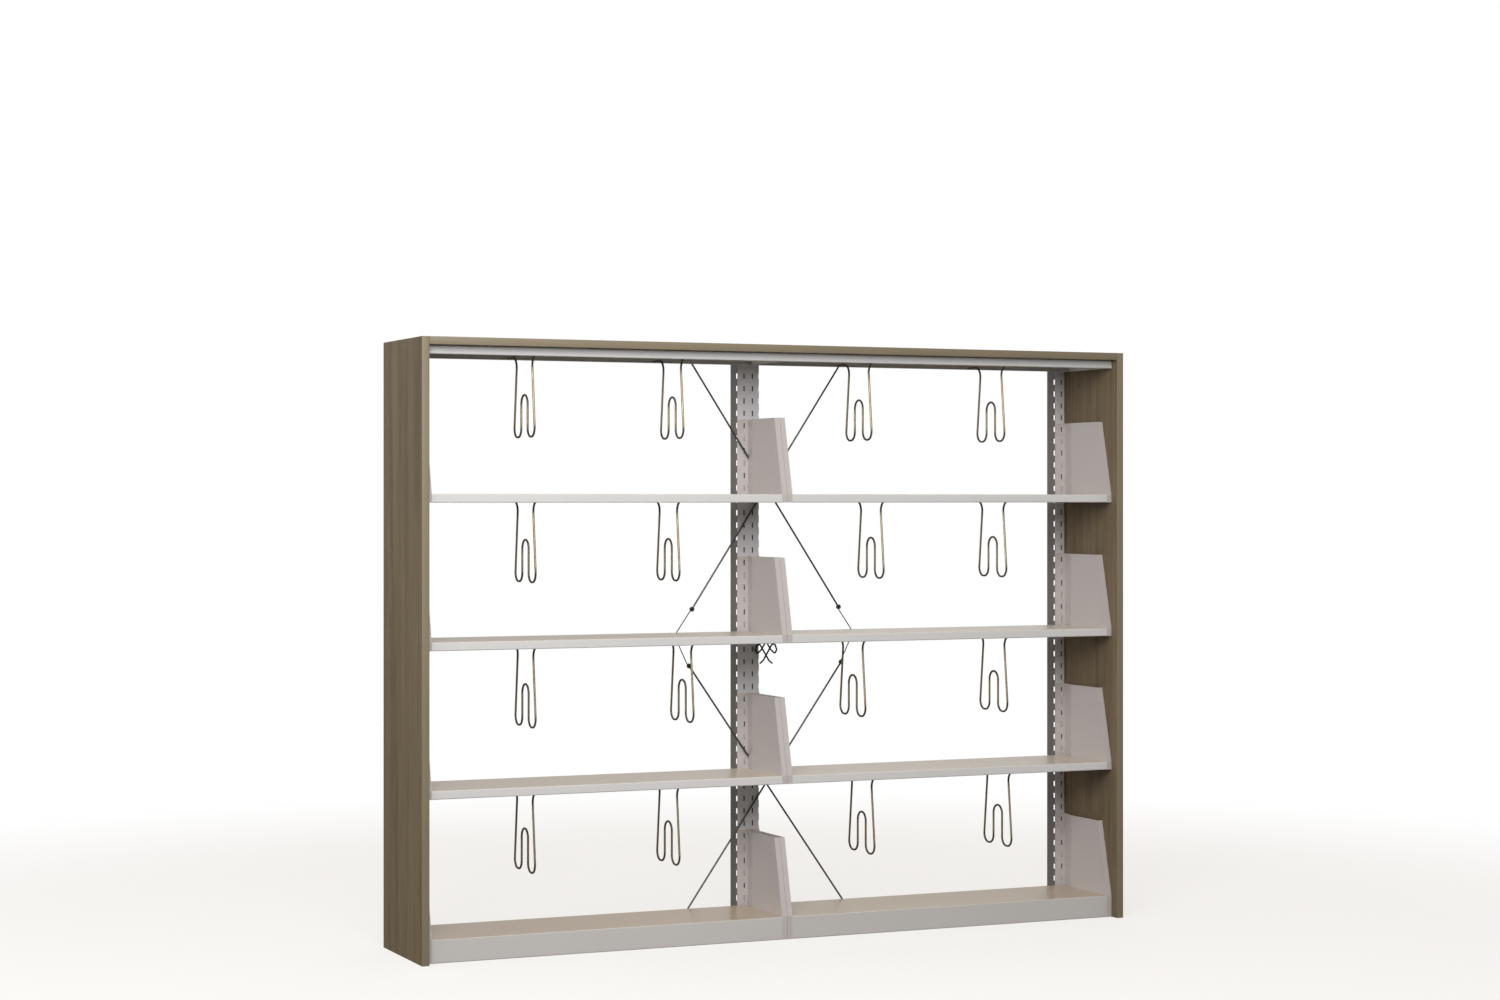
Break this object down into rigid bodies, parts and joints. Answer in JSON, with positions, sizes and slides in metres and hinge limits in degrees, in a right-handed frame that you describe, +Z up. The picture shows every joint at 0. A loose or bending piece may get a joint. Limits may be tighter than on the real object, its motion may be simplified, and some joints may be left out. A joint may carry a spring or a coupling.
{
  "type": "library shelving",
  "caption": "Low library shelving between laminate end panels: folded steel shelves on slotted uprights, slanted side brackets and wire book supports that slide under each shelf.",
  "frame": {"origin": "bottom centre of the bounding box, on the floor", "axes": "+X along the shelves to the right as seen from the front, +Y from the front to the back, +Z up"},
  "size_m": [1.836, 0.3, 1.42],
  "materials": {
    "oak_laminate": "grey-brown oak laminate, fine vertical grain, satin",
    "beech_dowel": "plain fluted beech",
    "upright_steel": "light grey powder coat, satin",
    "white_steel": "white powder coat, semi-gloss",
    "gold_zinc_wire": "bright yellow zinc plating on round wire",
    "dark_steel_rod": "dark drawn steel",
    "black_wire": "black coated wire",
    "zinc_fasteners": "bright zinc",
    "foot_plastic": "black moulded plastic"
  },
  "bodies": {
    "frame": {"base_shelf_left": "white_steel", "base_shelf_right": "white_steel", "brace_links": "black_wire", "brace_rod_lower_front": "dark_steel_rod", "brace_rod_lower_rear": "dark_steel_rod", "brace_rod_upper_front": "dark_steel_rod", "brace_rod_upper_rear": "dark_steel_rod", "brace_screws": "zinc_fasteners", "bracket_base_shelf_left_left": "white_steel", "bracket_base_shelf_left_right": "white_steel", "bracket_base_shelf_right_left": "white_steel", "bracket_base_shelf_right_right": "white_steel", "bracket_shelf_1_left_left": "white_steel", "bracket_shelf_1_left_right": "white_steel", "bracket_shelf_1_right_left": "white_steel", "bracket_shelf_1_right_right": "white_steel", "bracket_shelf_2_left_left": "white_steel", "bracket_shelf_2_left_right": "white_steel", "bracket_shelf_2_right_left": "white_steel", "bracket_shelf_2_right_right": "white_steel", "bracket_shelf_3_left_left": "white_steel", "bracket_shelf_3_left_right": "white_steel", "bracket_shelf_3_right_left": "white_steel", "bracket_shelf_3_right_right": "white_steel", "canopy_left": "white_steel", "canopy_right": "white_steel", "centre_upright": "upright_steel", "crossed_wire_clip": "black_wire", "left_end_panel": "oak_laminate", "left_upright": "upright_steel", "levelling_feet": "foot_plastic", "right_end_panel": "oak_laminate", "right_upright": "upright_steel", "shelf_1_left": "white_steel", "shelf_1_right": "white_steel", "shelf_2_left": "white_steel", "shelf_2_right": "white_steel", "shelf_3_left": "white_steel", "shelf_3_right": "white_steel", "shelf_bolts": "zinc_fasteners", "top_board": "oak_laminate", "top_board_dowels": "beech_dowel", "wood_screws": "zinc_fasteners"},
    "support_canopy_1": {"support_canopy_1": "gold_zinc_wire"},
    "support_canopy_2": {"support_canopy_2": "gold_zinc_wire"},
    "support_canopy_3": {"support_canopy_3": "gold_zinc_wire"},
    "support_canopy_4": {"support_canopy_4": "gold_zinc_wire"},
    "support_shelf_1_1": {"support_shelf_1_1": "gold_zinc_wire"},
    "support_shelf_1_2": {"support_shelf_1_2": "gold_zinc_wire"},
    "support_shelf_1_3": {"support_shelf_1_3": "gold_zinc_wire"},
    "support_shelf_1_4": {"support_shelf_1_4": "gold_zinc_wire"},
    "support_shelf_2_1": {"support_shelf_2_1": "gold_zinc_wire"},
    "support_shelf_2_2": {"support_shelf_2_2": "gold_zinc_wire"},
    "support_shelf_2_3": {"support_shelf_2_3": "gold_zinc_wire"},
    "support_shelf_2_4": {"support_shelf_2_4": "gold_zinc_wire"},
    "support_shelf_3_1": {"support_shelf_3_1": "gold_zinc_wire"},
    "support_shelf_3_2": {"support_shelf_3_2": "gold_zinc_wire"},
    "support_shelf_3_3": {"support_shelf_3_3": "gold_zinc_wire"},
    "support_shelf_3_4": {"support_shelf_3_4": "gold_zinc_wire"}
  },
  "joints": [
    {"name": "support_canopy_1_slide", "type": "slide", "parent": "frame", "child": "support_canopy_1", "axis": [1, 0, 0], "range_m": [-0.2395, 0.1782]},
    {"name": "support_canopy_2_slide", "type": "slide", "parent": "frame", "child": "support_canopy_2", "axis": [1, 0, 0], "range_m": [-0.1782, 0.228]},
    {"name": "support_canopy_3_slide", "type": "slide", "parent": "frame", "child": "support_canopy_3", "axis": [1, 0, 0], "range_m": [-0.208, 0.1765]},
    {"name": "support_canopy_4_slide", "type": "slide", "parent": "frame", "child": "support_canopy_4", "axis": [1, 0, 0], "range_m": [-0.1765, 0.263]},
    {"name": "support_shelf_1_1_slide", "type": "slide", "parent": "frame", "child": "support_shelf_1_1", "axis": [1, 0, 0], "range_m": [-0.242, 0.172]},
    {"name": "support_shelf_1_2_slide", "type": "slide", "parent": "frame", "child": "support_shelf_1_2", "axis": [1, 0, 0], "range_m": [-0.172, 0.238]},
    {"name": "support_shelf_1_3_slide", "type": "slide", "parent": "frame", "child": "support_shelf_1_3", "axis": [1, 0, 0], "range_m": [-0.241, 0.1628]},
    {"name": "support_shelf_1_4_slide", "type": "slide", "parent": "frame", "child": "support_shelf_1_4", "axis": [1, 0, 0], "range_m": [-0.1628, 0.2575]},
    {"name": "support_shelf_2_1_slide", "type": "slide", "parent": "frame", "child": "support_shelf_2_1", "axis": [1, 0, 0], "range_m": [-0.242, 0.19]},
    {"name": "support_shelf_2_2_slide", "type": "slide", "parent": "frame", "child": "support_shelf_2_2", "axis": [1, 0, 0], "range_m": [-0.19, 0.202]},
    {"name": "support_shelf_2_3_slide", "type": "slide", "parent": "frame", "child": "support_shelf_2_3", "axis": [1, 0, 0], "range_m": [-0.1915, 0.189]},
    {"name": "support_shelf_2_4_slide", "type": "slide", "parent": "frame", "child": "support_shelf_2_4", "axis": [1, 0, 0], "range_m": [-0.189, 0.2545]},
    {"name": "support_shelf_3_1_slide", "type": "slide", "parent": "frame", "child": "support_shelf_3_1", "axis": [1, 0, 0], "range_m": [-0.2405, 0.1727]},
    {"name": "support_shelf_3_2_slide", "type": "slide", "parent": "frame", "child": "support_shelf_3_2", "axis": [1, 0, 0], "range_m": [-0.1727, 0.238]},
    {"name": "support_shelf_3_3_slide", "type": "slide", "parent": "frame", "child": "support_shelf_3_3", "axis": [1, 0, 0], "range_m": [-0.216, 0.1825]},
    {"name": "support_shelf_3_4_slide", "type": "slide", "parent": "frame", "child": "support_shelf_3_4", "axis": [1, 0, 0], "range_m": [-0.1825, 0.243]}
  ]
}
